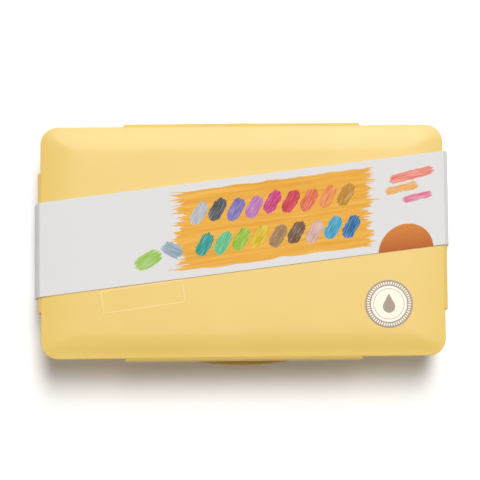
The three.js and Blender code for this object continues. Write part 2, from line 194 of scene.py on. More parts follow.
# A dressed node's points are joined across the gap. In degrees, its faces are merged below the
# first angle and its edges are rounded above the second
weld_gap = 0.002 * MM
flat_angle = 0.5
edge_angle = 33

# A span holds two ends of a pattern, and then what they turn into where that isn't 0 and 1. Nearly
# all that a noise texture gives lies in this one
noise_span = (0.3, 0.7)
noise_middle = 0.5


# Colours and shader nodes


def linear(code):
    """The linear colour of an sRGB hex code."""
    channels = [int(code[place : place + 2], 16) / 255 for place in (0, 2, 4)]
    return [c / 12.92 if c <= 0.04045 else ((c + 0.055) / 1.055) ** 2.4 for c in channels] + [1]


def between(code, other, share):
    """A colour part of the way from one sRGB hex code to another, mixed as light is."""
    return [a + (b - a) * share for a, b in zip(linear(code), linear(other))]


def add_node(tree, kind, inputs=(), operation=None, **settings):
    """Adds a shader node with its settings and links. Inputs come by name, or as a list for those
    in use, in order. Each is a value, an sRGB hex code, an output, or a node that stands for its
    first output."""
    node = tree.nodes.new("ShaderNode" + kind)
    if operation:
        node.operation = operation
    for name, value in settings.items():
        setattr(node, name, value)
    if isinstance(inputs, dict):
        pairs = [(node.inputs[name], value) for name, value in inputs.items()]
    else:
        pairs = list(zip([socket for socket in node.inputs if socket.enabled], inputs))
    for socket, value in pairs:
        if isinstance(value, str):
            value = linear(value)
        if isinstance(value, bpy.types.Node):
            value = next(output for output in value.outputs if output.enabled)
        if isinstance(value, bpy.types.NodeSocket):
            tree.links.new(value, socket)
        else:
            socket.default_value = value
    return node


def start_material(name):
    """A new material with no nodes yet, and its node tree."""
    material = bpy.data.materials.new(name)
    material.use_nodes = True
    material.node_tree.nodes.clear()
    return material, material.node_tree


def surface(material, tree, tone, pattern, gloss, sockets, relief=None):
    """Finishes a material. Its gloss is the span through which a pattern gives its roughness, and
    its relief is how far the same pattern stands out."""
    sockets["Base Color"] = tone
    sockets["Roughness"] = add_node(tree, "MapRange", [pattern, *gloss])
    if relief:
        sockets["Normal"] = add_node(tree, "Bump", {"Height": pattern, **relief})
    shader = add_node(tree, "BsdfPrincipled", sockets)
    add_node(tree, "OutputMaterial", {"Surface": shader})
    return material


def tinted(tree, pattern, tone, other, span=noise_span):
    """A tone that goes over to another one as a pattern rises through a span."""
    share = add_node(tree, "MapRange", [pattern, *span])
    return add_node(tree, "Mix", [share, tone, other], data_type="RGBA")


def drawn_grain(tree, place, run, width, detail):
    """A noise as fine as a width, drawn out along the axes in which its run is below one."""
    drawn_out = add_node(tree, "VectorMath", [place, run], "MULTIPLY")
    return add_node(tree, "TexNoise", {"Vector": drawn_out, "Scale": 1 / width, "Detail": detail})


def covered(tree, distance, edge, blur, tone, ink, most=1):
    """A tone under an ink that reaches up to an edge, where it ends in a short blur."""
    return tinted(tree, distance, tone, ink, (edge + blur, edge - blur, 0, most))


def off_line(tree, distance, line):
    """How far off a line a point lies, from its distance and the line's own."""
    offset = add_node(tree, "Math", [distance, line], "SUBTRACT")
    return add_node(tree, "Math", [offset], "ABSOLUTE")


# Plastics and rubber


def moulded_polypropylene(name, colour, shade, roughness, printed=None):
    """Polypropylene from a spark-eroded mould. The eye sees a satin skin with a fine even grain
    in its gloss, and a soft glow, because a little light goes into the plastic before it leaves.
    The IOR starts from 1.49 and is raised until the case's edges shine as they should."""
    cloud_size = 45 * MM
    # The mould's own grain is about 0.05 mm, too fine to show, so it is drawn coarser
    grain_size = 0.45 * MM
    grain_depth = 0.012 * MM
    smoother = 0.04
    rougher = 0.05
    material, tree = start_material(name)
    place = add_node(tree, "TexCoord").outputs["Object"]
    cloud = add_node(tree, "TexNoise", {"Vector": place, "Scale": 1 / cloud_size, "Detail": 2})
    tone = tinted(tree, cloud, colour, shade)
    if printed:
        tone = printed(tree, place, tone)
    grain = add_node(tree, "TexNoise", {"Vector": place, "Scale": 1 / grain_size, "Detail": 2})
    gloss = (*noise_span, roughness - smoother, roughness + rougher)
    return surface(material, tree, tone, grain, gloss, {
        "IOR": 1.6,
        "Subsurface Weight": 0.06,
        "Subsurface Radius": (1, 0.7, 0.25),
        "Subsurface Scale": 1.2 * MM,
    }, {"Distance": grain_depth})


def printed_outline(tree, place, tone):
    """A thin cream outline on the lid's front left, in ink that lets some of the yellow through.
    Its numbers are millimetres."""
    middle = (-63.1 * MM, -34.4 * MM, 0)
    half_box = (25.8, 6.9, 0)
    turn = math.radians(7.6)
    half_line = 0.24
    blur = 0.12
    cover = 0.6
    moved = add_node(tree, "VectorMath", [place, middle], "SUBTRACT")
    turned = add_node(tree, "VectorRotate", {"Vector": moved, "Angle": -turn}, rotation_type="Z_AXIS")
    measured = add_node(tree, "VectorMath", [turned, 1 / MM], "SCALE")
    folded = add_node(tree, "VectorMath", [measured], "ABSOLUTE")
    past = add_node(tree, "VectorMath", [folded, half_box], "SUBTRACT")
    axes = add_node(tree, "SeparateXYZ", [past])
    edge = add_node(tree, "Math", axes.outputs[:2], "MAXIMUM")
    distance = add_node(tree, "Math", [edge], "ABSOLUTE")
    return covered(tree, distance, half_line, blur, tone, "F6DFA6", cover)


def silicone_rubber():
    """Moulded silicone rubber. The eye sees a dull milky skin that lets light into its edges,
    with faint clouds a few millimetres across."""
    cloud_size = 2 * MM
    material, tree = start_material("silicone_rubber")
    place = add_node(tree, "TexCoord").outputs["Object"]
    cloud = add_node(tree, "TexNoise", {"Vector": place, "Scale": 1 / cloud_size, "Detail": 3})
    tone = tinted(tree, cloud, "EAE5D8", "DDD7C8")
    return surface(material, tree, tone, cloud, (*noise_span, 0.5, 0.62), {
        "IOR": 1.41,
        "Subsurface Weight": 0.3,
        "Subsurface Scale": 1.5 * MM,
    })


def clear_polystyrene():
    """Injection-moulded clear polystyrene. The eye sees hard bright edges with a faint cool tint,
    and slow flow marks about 9 mm long in its gloss."""
    flow_size = 9 * MM
    material, tree = start_material("clear_polystyrene")
    place = add_node(tree, "TexCoord").outputs["Object"]
    flow = add_node(tree, "TexNoise", {"Vector": place, "Scale": 1 / flow_size, "Detail": 2})
    tone = tinted(tree, flow, "F4F8F8", "E6EEEF")
    return surface(material, tree, tone, flow, (*noise_span, 0.03, 0.08), {
        "IOR": 1.59,
        "Transmission Weight": 0.9,
    })


# Paint and brushes


def wet_gouache(name, colour, turn):
    """Gouache as it was filled and stirred. The eye sees opaque colour with paler and darker
    streaks where it isn't quite mixed, under a wet skin."""
    # How far apart the rings of a wave texture lie where its scale is one
    ring_unit = math.tau / 20
    ring_pitch = 26.4 * MM
    streak_span = (0.1, 0.95)
    streak_share = 0.45
    streak_depth = 0.22 * MM
    dark_share = 0.28
    pale_share = 0.3
    dark = between(colour, "1A1410", dark_share)
    pale = between(colour, "FFFFFF", pale_share)
    material, tree = start_material(name)
    place = add_node(tree, "TexCoord").outputs["Object"]
    turned = add_node(tree, "VectorRotate", {"Vector": place, "Angle": turn}, rotation_type="Z_AXIS")
    swirl = add_node(tree, "TexWave", {
        "Vector": turned,
        "Scale": ring_unit / ring_pitch,
        "Distortion": 9,
        "Detail": 3,
        "Detail Scale": 1.2,
    }, wave_type="RINGS", rings_direction="Z").outputs["Fac"]
    streaks = tinted(tree, swirl, dark, pale, streak_span)
    tone = add_node(tree, "Mix", [streak_share, colour, streaks], data_type="RGBA")
    return surface(material, tree, tone, swirl, (0, 1, 0.22, 0.42), {
        "IOR": 1.5,
        "Coat Weight": 0.35,
        "Coat Roughness": 0.12,
    }, {"Distance": streak_depth, "Strength": 0.7})


def lacquered_beech():
    """Turned beech under clear lacquer. The eye sees fine straight grain along the handle, short
    darker flecks, and an even gloss over both."""
    # Beech has fibres about 0.1 mm wide and flecks about 0.3 mm wide. Both are drawn wider
    fibre_width = 0.5 * MM
    fibre_run = (0.03, 1, 1)
    fibre_depth = 0.03 * MM
    fleck_width = 0.7 * MM
    fleck_run = (0.25, 1, 1)
    fleck_span = (0.56, 0.7, 0, 0.5)
    material, tree = start_material("lacquered_beech")
    place = add_node(tree, "TexCoord").outputs["Object"]
    fibre = drawn_grain(tree, place, fibre_run, fibre_width, detail=4)
    fleck = drawn_grain(tree, place, fleck_run, fleck_width, detail=2)
    tone = tinted(tree, fibre, "DDB784", "BF9159")
    tone = tinted(tree, fleck, tone, "A2713D", fleck_span)
    return surface(material, tree, tone, fibre, (*noise_span, 0.3, 0.42), {
        "IOR": 1.5,
        "Coat Weight": 0.5,
        "Coat Roughness": 0.15,
    }, {"Distance": fibre_depth})


def drawn_aluminium():
    """Aluminium tube, drawn and then rolled. The eye sees bright metal with fine rings round it."""
    # Drawing leaves rings about 0.05 mm apart, too fine to show, so they are drawn coarser
    ring_width = 0.25 * MM
    ring_run = (1, 0.04, 0.04)
    ring_depth = 0.01 * MM
    material, tree = start_material("drawn_aluminium")
    place = add_node(tree, "TexCoord").outputs["Object"]
    rings = drawn_grain(tree, place, ring_run, ring_width, detail=2)
    tone = tinted(tree, rings, "D3D6DA", "BDC1C6")
    gloss = (*noise_span, 0.2, 0.34)
    relief = {"Distance": ring_depth}
    return surface(material, tree, tone, rings, gloss, {"Metallic": 1.0}, relief)


def dyed_nylon_filament():
    """Tapered nylon filament, dyed chestnut. The eye sees single strands, with painted shade darkening
    the streaks between them, and paler towards the tips, where they thin out."""
    # Shares of the head's width and length. Filaments are 0.15 mm thick, and are drawn thicker
    strand_width = 0.06
    strand_run = (0.05, 1, 1)
    strand_gap_shade_span = (*noise_span, 0, 0.5)
    tip_span = (0.2, 1)
    material, tree = start_material("dyed_nylon_filament")
    place = add_node(tree, "TexCoord").outputs["Generated"]
    along = add_node(tree, "SeparateXYZ", [place]).outputs[0]
    strand = drawn_grain(tree, place, strand_run, strand_width, detail=2)
    tone = tinted(tree, along, "6E4426", "B4824F", tip_span)
    # The strand pattern darkens the streaks between strands towards near black brown: painted shade in
    # the gaps
    tone = tinted(tree, strand, tone, "4B2C18", strand_gap_shade_span)
    return surface(material, tree, tone, strand, (*noise_span, 0.35, 0.5), {"IOR": 1.53})


# The sleeve's print, in millimetres: X runs along the band from its middle and Y across it

# The paints' colours as they are printed, along one row of dabs and then the other
dab_colours = [
    "B9BCC2", "4A4F54", "7F70B4", "BC76B6", "C93C7C", "CC384C", "E06A46", "EA8C48", "BE8820",
    "26988C", "62BE88", "94BF36", "DDBC1E", "A07C50", "6E4D34", "D8B0A2", "3CA2C6", "1C6CA4",
]

# How ragged a stroke is: how its bristle marks are drawn out, how far its ends fray, and how far
# its sides wander, over what length. Real bristle marks are 0.3 mm wide, and are drawn wider
bristle_width = 0.7
stroke_blur = 0.15
dab_look = {"run": (0.09, 1, 1), "fray": 3.4, "wander": 2.4, "wander_length": 3.4}
loose_look = {"run": (0.06, 1, 1), "fray": 8, "wander": 1.8, "wander_length": 5}

# Each loose stroke's middle, half length, radius, slope in degrees, and colour
loose_strokes = [
    ((-60, -15.5, 0), 3.6, 4.8, 24, "8CBC30"),
    ((-44.5, -11, 0), 2.6, 4.2, -32, "7E9AAC"),
    ((107, 17, 0), 11, 2.9, 7, "E2705A"),
    ((101, 9.4, 0), 8, 2.4, 7, "E3A23A"),
    ((110.5, 2.6, 0), 7, 2.2, 7, "D6618A"),
]


def wandered(tree, distance, pattern, reach):
    """A distance that wanders with a pattern, by up to half of reach either way."""
    swing = add_node(tree, "Math", [pattern, noise_middle], "SUBTRACT")
    return add_node(tree, "Math", [swing, reach, distance], "MULTIPLY_ADD")


def brush_mark(tree, place, local, half, radius, slope, look):
    """A brush stroke at a slope, with its middle where the local place is zero. Gives how much of
    it covers a point, and its bristle marks."""
    angle = -math.radians(slope)
    turned, spun = [
        add_node(tree, "VectorRotate", {"Vector": vector, "Angle": angle}, rotation_type="Z_AXIS")
        for vector in (local, place)
    ]
    bristle = drawn_grain(tree, spun, look["run"], bristle_width, detail=4)
    swing = add_node(tree, "Math", [bristle, noise_middle], "SUBTRACT")
    frayed = add_node(tree, "VectorMath", [swing, (look["fray"], 0, 0), turned], "MULTIPLY_ADD")
    folded = add_node(tree, "VectorMath", [frayed], "ABSOLUTE")
    past = add_node(tree, "VectorMath", [folded, (half, 0, 0)], "SUBTRACT")
    beyond = add_node(tree, "VectorMath", [past, (0, 0, 0)], "MAXIMUM")
    distance = add_node(tree, "VectorMath", [beyond], "LENGTH")
    curve = add_node(
        tree, "TexNoise", {"Vector": place, "Scale": 1 / look["wander_length"], "Detail": 2}
    )
    distance = wandered(tree, distance, curve, look["wander"])
    cover = add_node(tree, "MapRange", [distance, radius + stroke_blur, radius - stroke_blur])
    return cover, bristle


def wash(tree, place, along, across, tone):
    """A wash of warm yellow in broad strokes along the band, ragged at both ends."""
    middle = 20
    half_run = 61
    half_rise = 25
    blur = 0.25
    # How each pattern is drawn out, how wide it is, and how far it moves the wash's edge
    streak_run = (0.04, 1, 1)
    streak_width = 2.6
    streak_reach = 20
    mark_run = (0.03, 1, 1)
    mark_width = 0.8
    mark_reach = 22
    drift_width = 20
    drift_reach = 14
    side_run = (0.4, 1, 1)
    side_width = 9
    side_reach = 5
    dry_span = (0.5, 0.75, 0, 0.45)
    streak = drawn_grain(tree, place, streak_run, streak_width, detail=4)
    mark = drawn_grain(tree, place, mark_run, mark_width, detail=3)
    drift = add_node(tree, "TexNoise", {"Vector": place, "Scale": 1 / drift_width, "Detail": 2})
    side = drawn_grain(tree, place, side_run, side_width, detail=3)

    from_middle = add_node(tree, "Math", [along, middle], "SUBTRACT")
    run = add_node(tree, "Math", [from_middle], "ABSOLUTE")
    for pattern, reach in ((streak, streak_reach), (mark, mark_reach), (drift, drift_reach)):
        run = wandered(tree, run, pattern, reach)
    past_end = add_node(tree, "Math", [run, half_run], "SUBTRACT")
    rise = add_node(tree, "Math", [across], "ABSOLUTE")
    rise = wandered(tree, rise, side, side_reach)
    past_side = add_node(tree, "Math", [rise, half_rise], "SUBTRACT")
    past = add_node(tree, "Math", [past_end, past_side], "MAXIMUM")
    yellow = tinted(tree, streak, "EDB548", "DE9A28")
    yellow = tinted(tree, mark, yellow, "F6CF7E", dry_span)
    return covered(tree, past, 0, blur, tone, yellow)


def dabs(tree, place, along, across, tone):
    """Two rows of short fat brush strokes, one for each paint."""
    columns = 9
    pitch = 11.6
    row_height = 10.2
    row_shift = 3.2
    unevenness = 2.2
    half = 3.4
    radius = 4.1
    slope = 58
    pale_span = (0.5, 0.78, 0, 0.32)
    dark_span = (0.3, 0.52, 0.4, 0)
    rows_middle = 19
    first_edge = rows_middle - pitch * columns / 2
    low_row = add_node(tree, "Math", [across, 0], "LESS_THAN")
    shifted = add_node(tree, "Math", [low_row, -row_shift, along], "MULTIPLY_ADD")
    started = add_node(tree, "Math", [shifted, first_edge], "SUBTRACT")
    column_place = add_node(tree, "Math", [started, pitch], "DIVIDE")
    column = add_node(tree, "Math", [column_place], "FLOOR")
    number = add_node(tree, "Math", [low_row, columns, column], "MULTIPLY_ADD")
    within = add_node(tree, "Math", [column_place], "FRACT")
    beside = add_node(tree, "Math", [within, pitch, -pitch / 2], "MULTIPLY_ADD")
    raised = add_node(tree, "Math", [low_row, 2 * row_height, across], "MULTIPLY_ADD")
    above = add_node(tree, "Math", [raised, row_height], "SUBTRACT")
    luck = add_node(tree, "TexWhiteNoise", [number], noise_dimensions="1D")
    above = wandered(tree, above, luck, unevenness)
    local = add_node(tree, "CombineXYZ", [beside, above])
    cover, bristle = brush_mark(tree, place, local, half, radius, slope, dab_look)
    in_row = add_node(tree, "Math", [column_place, columns / 2, columns / 2], "COMPARE")
    cover = add_node(tree, "Math", [cover, in_row], "MULTIPLY")

    step = 1 / len(dab_colours)
    turn = add_node(tree, "Math", [number, step, step / 2], "MULTIPLY_ADD")
    paint = add_node(tree, "ValToRGB", [turn])
    paint.color_ramp.interpolation = "CONSTANT"
    stops = paint.color_ramp.elements
    stops.remove(stops[-1])
    stops[0].color = linear(dab_colours[0])
    for number, colour in enumerate(dab_colours[1:], 1):
        stops.new(number * step).color = linear(colour)
    paint = tinted(tree, bristle, paint, "FFFFFF", pale_span)
    paint = tinted(tree, bristle, paint, "3A2A20", dark_span)
    return add_node(tree, "Mix", [cover, tone, paint], data_type="RGBA")


def half_disc(tree, place, tone):
    """A burnt orange disc that the band's front edge cuts in half, paler towards its top."""
    middle = (103, -31, 0)
    radius = 17.5
    blur = 0.15
    pale_span = (2, 18)
    local = add_node(tree, "VectorMath", [place, middle], "SUBTRACT")
    distance = add_node(tree, "VectorMath", [local], "LENGTH")
    rise = add_node(tree, "SeparateXYZ", [local]).outputs[1]
    rust = tinted(tree, rise, "B8622A", "D4863A", pale_span)
    return covered(tree, distance, radius, blur, tone, rust)


def loose_stroke(tree, place, tone, stroke):
    """One long brush stroke with dry, paler bristle marks."""
    dry_span = (0.4, 0.75, 0, 0.45)
    middle, half, radius, slope, colour = stroke
    local = add_node(tree, "VectorMath", [place, middle], "SUBTRACT")
    cover, bristle = brush_mark(tree, place, local, half, radius, slope, loose_look)
    faded = tinted(tree, bristle, colour, "FBF6EE", dry_span)
    return add_node(tree, "Mix", [cover, tone, faded], data_type="RGBA")


def printed_card():
    """Coated card with an offset print. The eye sees a smooth pale sheet with a silky gloss that
    its ink shares, and a wash, dabs, a half disc and loose strokes on it."""
    # The fibres are about 0.03 mm wide, too fine to show, so their mottle is drawn coarser
    mottle_size = 1.1
    mottle_depth = 0.003 * MM
    material, tree = start_material("printed_coated_card")
    flat = add_node(tree, "UVMap", uv_map="band")
    place = add_node(tree, "VectorMath", [flat, 1 / MM], "SCALE")
    along, across = add_node(tree, "SeparateXYZ", [place]).outputs[:2]
    mottle = add_node(tree, "TexNoise", {"Vector": place, "Scale": 1 / mottle_size, "Detail": 3})
    tone = tinted(tree, mottle, "E0E0DF", "DEDEDD")
    tone = wash(tree, place, along, across, tone)
    tone = dabs(tree, place, along, across, tone)
    tone = half_disc(tree, place, tone)
    for stroke in loose_strokes:
        tone = loose_stroke(tree, place, tone, stroke)
    return surface(material, tree, tone, mottle, (*noise_span, 0.58, 0.66), {
        "IOR": 1.5,
        "Specular IOR Level": 0.25,
    }, {"Distance": mottle_depth})


def printed_label():
    """Coated label paper with an offset print. The eye sees a smooth taupe ring with pale ticks
    round a cream field, and on it a fine circle and a paint drop. Its numbers are millimetres."""
    cream = "FBF0DE"
    taupe = "9A8A78"
    blur = 0.12
    field_radius = 11.4
    ticks_radius = 13.1
    half_tick = 0.85
    tick_count = 54
    tick_share = 0.27
    tick_blur = 0.06
    circle_radius = 9.6
    half_circle_line = 0.16
    circle_blur = 0.08
    drop_radius = 3.9
    drop_rise = -1.7
    tip_rise = 6.6
    tip_angle = math.asin(drop_radius / (tip_rise - drop_rise))
    # The paper's mottle is drawn coarser than its fibres, as on the card
    mottle_size = 1.2 * MM
    material, tree = start_material("printed_label_paper")
    low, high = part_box("lid_sticker")
    place = add_node(tree, "TexCoord").outputs["Object"]
    moved = add_node(tree, "VectorMath", [place, (low + high) / 2], "SUBTRACT")
    flat = add_node(tree, "VectorMath", [moved, (1 / MM, 1 / MM, 0)], "MULTIPLY")
    right, up = add_node(tree, "SeparateXYZ", [flat]).outputs[:2]
    radius = add_node(tree, "VectorMath", [flat], "LENGTH")

    # The field, and the ticks in the ring round it
    tone = covered(tree, radius, field_radius, blur, taupe, cream)
    off_ring = off_line(tree, radius, ticks_radius)
    ring = add_node(tree, "MapRange", [off_ring, half_tick + blur, half_tick - blur])
    angle = add_node(tree, "Math", [up, right], "ARCTAN2")
    beats = add_node(tree, "Math", [angle, tick_count / math.tau], "MULTIPLY")
    beat = add_node(tree, "Math", [beats], "FRACT")
    off_tick = off_line(tree, beat, 0.5)
    tick = add_node(tree, "MapRange", [off_tick, tick_share + tick_blur, tick_share - tick_blur])
    cover = add_node(tree, "Math", [ring, tick], "MULTIPLY")
    tone = add_node(tree, "Mix", [cover, tone, cream], data_type="RGBA")

    # The drop: a disc, and the wedge that runs from its sides up to a point
    below = add_node(tree, "VectorMath", [flat, (0, drop_rise, 0)], "SUBTRACT")
    from_disc = add_node(tree, "VectorMath", [below], "LENGTH")
    off_disc = add_node(tree, "Math", [from_disc, drop_radius], "SUBTRACT")
    aside = add_node(tree, "Math", [right], "ABSOLUTE")
    folded = add_node(tree, "CombineXYZ", [aside, up])
    side_heading = (math.cos(tip_angle), math.sin(tip_angle), 0)
    towards = add_node(tree, "VectorMath", [folded, side_heading], "DOT_PRODUCT")
    off_side = add_node(tree, "Math", [towards, tip_rise * math.sin(tip_angle)], "SUBTRACT")
    wedge_foot = drop_rise + drop_radius * math.sin(tip_angle)
    off_foot = add_node(tree, "Math", [wedge_foot, up], "SUBTRACT")
    off_wedge = add_node(tree, "Math", [off_side, off_foot], "MAXIMUM")
    off_drop = add_node(tree, "Math", [off_disc, off_wedge], "MINIMUM")
    tone = covered(tree, off_drop, 0, blur, tone, taupe)

    # The fine circle round the drop
    off_circle = off_line(tree, radius, circle_radius)
    tone = covered(tree, off_circle, half_circle_line, circle_blur, tone, taupe)
    mottle = add_node(tree, "TexNoise", {"Vector": place, "Scale": 1 / mottle_size, "Detail": 3})
    return surface(material, tree, tone, mottle, (*noise_span, 0.32, 0.4), {"IOR": 1.5})


def white_sweep():
    """Matt white paper sweep. It keeps shadows, and is white to the camera and in reflections."""
    material, tree = start_material("white_sweep")
    path = add_node(tree, "LightPath")
    shown = [path.outputs["Is Glossy Ray"], path.outputs["Is Transmission Ray"]]
    shown = add_node(tree, "Math", shown, "MAXIMUM")
    shown = add_node(tree, "Math", [path.outputs["Is Camera Ray"], shown], "MAXIMUM")
    lift = add_node(tree, "Math", [shown, floor_lift], "MULTIPLY")
    matt = add_node(tree, "BsdfDiffuse", {"Color": "FAFAFA"})
    glow = add_node(tree, "Emission", {"Strength": lift})
    add_node(tree, "OutputMaterial", {"Surface": add_node(tree, "AddShader", [matt, glow])})
    return material


# Mesh building


def add_object(name, data):
    """A new object in the scene."""
    added = bpy.data.objects.new(name, data)
    bpy.context.scene.collection.objects.link(added)
    return added


def make_piece(name, vertices, faces, material, sharp=35):
    """A piece from its points and faces, shaded smooth except where it turns sharply."""
    mesh = bpy.data.meshes.new(name)
    mesh.from_pydata([tuple(v) for v in vertices], [], faces)
    mesh.validate()
    mesh.polygons.foreach_set("use_smooth", [True] * len(mesh.polygons))
    mesh.set_sharp_from_angle(angle=math.radians(sharp))
    mesh.materials.append(material)
    return add_object(name, mesh)


def flip_outwards(piece):
    """Turns every face of a closed piece to look outwards."""
    mesh = bmesh.new()
    mesh.from_mesh(piece.data)
    bmesh.ops.recalc_face_normals(mesh, faces=mesh.faces)
    mesh.to_mesh(piece.data)
    mesh.free()


def rounded_outline(length, width, radius, steps):
    """The points of a rounded rectangle, anticlockwise from above."""
    points = []
    for quarter, (right, back) in enumerate(((1, 1), (-1, 1), (-1, -1), (1, -1))):
        for step in range(steps + 1):
            angle = (quarter + step / steps) * math.pi / 2
            points.append((
                right * (length / 2 - radius) + radius * math.cos(angle),
                back * (width / 2 - radius) + radius * math.sin(angle),
            ))
    return points


def ring_piece(name, rings, material, looped=False, sharp=35):
    """A piece through rings of points. The first ring's face looks down and the last one's up,
    or the last ring joins the first."""
    count = len(rings[0])
    vertices = [point for ring in rings for point in ring]
    faces = []
    for band in range(len(rings) if looped else len(rings) - 1):
        low = band * count
        high = (band + 1) % len(rings) * count
        for i in range(count):
            after = (i + 1) % count
            faces.append((low + i, low + after, high + after, high + i))
    if not looped:
        faces.append(tuple(reversed(range(count))))
        faces.append(tuple(range((len(rings) - 1) * count, len(rings) * count)))
    return make_piece(name, vertices, faces, material, sharp)


def sheet_piece(name, vertices, rows, lines, material):
    """A thin sheet from two layers of points, the under side first, each with rows of lines."""
    layer = rows * lines
    faces = []
    for row in range(rows - 1):
        for line in range(lines - 1):
            a = row * lines + line
            quad = (a, a + 1, a + lines + 1, a + lines)
            faces.append(quad)
            faces.append(tuple(layer + corner for corner in reversed(quad)))
    rim = list(range(lines))
    rim += [row * lines + lines - 1 for row in range(1, rows)]
    rim += [(rows - 1) * lines + line for line in range(lines - 2, -1, -1)]
    rim += [row * lines for row in range(rows - 2, 0, -1)]
    for place, corner in enumerate(rim):
        after = rim[(place + 1) % len(rim)]
        faces.append((after, corner, layer + corner, layer + after))
    piece = make_piece(name, vertices, faces, material, sharp=40)
    flip_outwards(piece)
    return piece


def rounded_path(points, radius, steps):
    """A line of points with its bends rounded. A bend takes up less than half of each side."""
    room = 2.1
    path = [points[0]]
    for before, corner, after in zip(points, points[1:], points[2:]):
        into = (corner - before).normalized()
        out_of = (after - corner).normalized()
        half = into.angle(out_of) / 2
        shorter = min((corner - before).length, (after - corner).length)
        reach = min(radius * math.tan(half), shorter / room)
        start = corner - into * reach
        end = corner + out_of * reach
        for step in range(steps + 1):
            share = step / steps
            path.append(start * (1 - share) ** 2 + corner * (2 * share * (1 - share)) + end * share**2)
    path.append(points[-1])
    return path


def eased(table, along):
    """A value from a table of pairs, on a smooth line through all of them."""
    for place in range(len(table) - 1):
        if along <= table[place + 1][0]:
            break
    slopes = []
    for corner in (place, place + 1):
        before = table[max(corner - 1, 0)]
        after = table[min(corner + 1, len(table) - 1)]
        slopes.append((after[1] - before[1]) / (after[0] - before[0]))
    (start, low), (end, high) = table[place], table[place + 1]
    width = end - start
    share = (along - start) / width
    return (
        low * (1 + 2 * share) * (1 - share) ** 2
        + slopes[0] * width * share * (1 - share) ** 2
        + high * share**2 * (3 - 2 * share)
        - slopes[1] * width * share**2 * (1 - share)
    )


def dress(node, material, edge=0.25 * MM):
    """Gives a node of the frame its material and slightly rounded edges."""
    piece = frame["nodes"][node]
    piece.data.materials.clear()
    piece.data.materials.append(material)
    piece.data.polygons.foreach_set("use_smooth", [True] * len(piece.data.polygons))
    weld = piece.modifiers.new("weld", "WELD")
    weld.merge_threshold = weld_gap
    flats = piece.modifiers.new("flats", "DECIMATE")
    flats.decimate_type = "DISSOLVE"
    flats.angle_limit = math.radians(flat_angle)
    bevel = piece.modifiers.new("bevel", "BEVEL")
    bevel.width = edge
    bevel.segments = bevel_steps
    bevel.limit_method = "ANGLE"
    bevel.angle_limit = math.radians(edge_angle)
    bevel.harden_normals = False
    normals = piece.modifiers.new("normals", "WEIGHTED_NORMAL")
    normals.keep_sharp = False


# Lid and latches


def lid_ring(out, height, end_out=None):
    """The lid's outline moved out by a distance, at a height. Its ends may move by another one."""
    radius = max(lid_corner + out, tightest_corner)
    length = 2 * (half_length + (out if end_out is None else end_out))
    width = 2 * (half_width + out)
    return [(x, y, height) for x, y in rounded_outline(length, width, radius, corner_steps)]


def round_rings(inset, height, radius, turn):
    """The lid's outline, carried a quarter of the way round an edge. The edge's middle line lies
    an inset in from the lid's side, at a height."""
    rings = []
    for step in range(round_steps + 1):
        angle = turn + step / round_steps * math.pi / 2
        out = radius * math.cos(angle) - inset
        rings.append(lid_ring(out, height + radius * math.sin(angle)))
    return rings


def crown_at(share):
    """How far in from the lid's long sides and from its ends a share of the crown lies, and at
    what height. From the ends the crown climbs more gently, as an even bow."""
    rise = eased(crown_shares, share)
    bow = 1 - math.sqrt(1 - rise)
    from_side = edge_round + (crown_width - edge_round) * share
    from_end = edge_round + (crown_end_width - edge_round) * bow
    return from_side, from_end, edge_top + crown_height * rise


def lid_cover(material):
    """The lid, with its soft crown, round hem, and the rib that holds the gasket inside."""
    ceiling = lid_high.z - top_thickness
    channel = lid_low.z + channel_depth
    rib_end = ceiling - rib_height
    rings = [
        lid_ring(-rib_inset, ceiling),
        lid_ring(-rib_inset, rib_end),
        lid_ring(-rib_inset + rib_wall, rib_end),
        lid_ring(-rib_inset + rib_wall, channel),
        lid_ring(-skirt_wall, channel),
        lid_ring(-skirt_wall, lid_low.z),
    ]
    rings += round_rings(hem_round, lid_low.z + hem_round, hem_round, -math.pi / 2)
    rings += round_rings(edge_round, edge_top - edge_round, edge_round, 0)[:-1]
    for step in range(crown_steps + 1):
        from_side, from_end, height = crown_at(step / crown_steps)
        rings.append(lid_ring(-from_side, height, -from_end))
    lid = ring_piece("lid_cover", rings, material, sharp=50)
    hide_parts("lid_shell")
    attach(lid, "lid")


def gasket_ring(material):
    """The soft ring in the lid's channel, with round lower edges."""
    outer = half_width - gasket_high.y
    inner = outer + gasket_width
    foot = gasket_low.z + gasket_round
    rings = [lid_ring(-inner, gasket_high.z)]
    rings += round_rings(inner - gasket_round, foot, gasket_round, math.pi)
    rings += round_rings(outer + gasket_round, foot, gasket_round, 1.5 * math.pi)
    rings.append(lid_ring(-outer, gasket_high.z))
    ring = ring_piece("gasket_ring", rings, material, looped=True, sharp=50)
    flip_outwards(ring)
    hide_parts("lid_gasket")
    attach(ring, "lid")


def hinge_web(side, material):
    """The thin web that joins a latch to the lid's edge, which bends as the latch swings."""
    place = Vector(joint_places["latch_" + side + "_hinge"])
    outward = Vector(side_headings[side])
    along = Vector((0, 0, 1)).cross(outward)
    low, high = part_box("latch_" + side)
    half = abs((high - low).dot(along)) / 2 - web_end
    face = half_width if side in ("front", "back") else half_length
    line = [Vector((out * MM, rise * MM)) for out, rise in web_line]
    line = rounded_path(line, web_round, web_round_steps)
    vertices = []
    for level in (-web_thickness, 0):
        for out, rise in line:
            for column in range(web_columns + 1):
                vertices.append(
                    outward * (face + out)
                    + along * half * (2 * column / web_columns - 1)
                    + Vector((0, 0, place.z + rise + level))
                )
    web = sheet_piece("hinge_web_" + side, vertices, len(line), web_columns + 1, material)
    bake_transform(web)


# Card sleeve


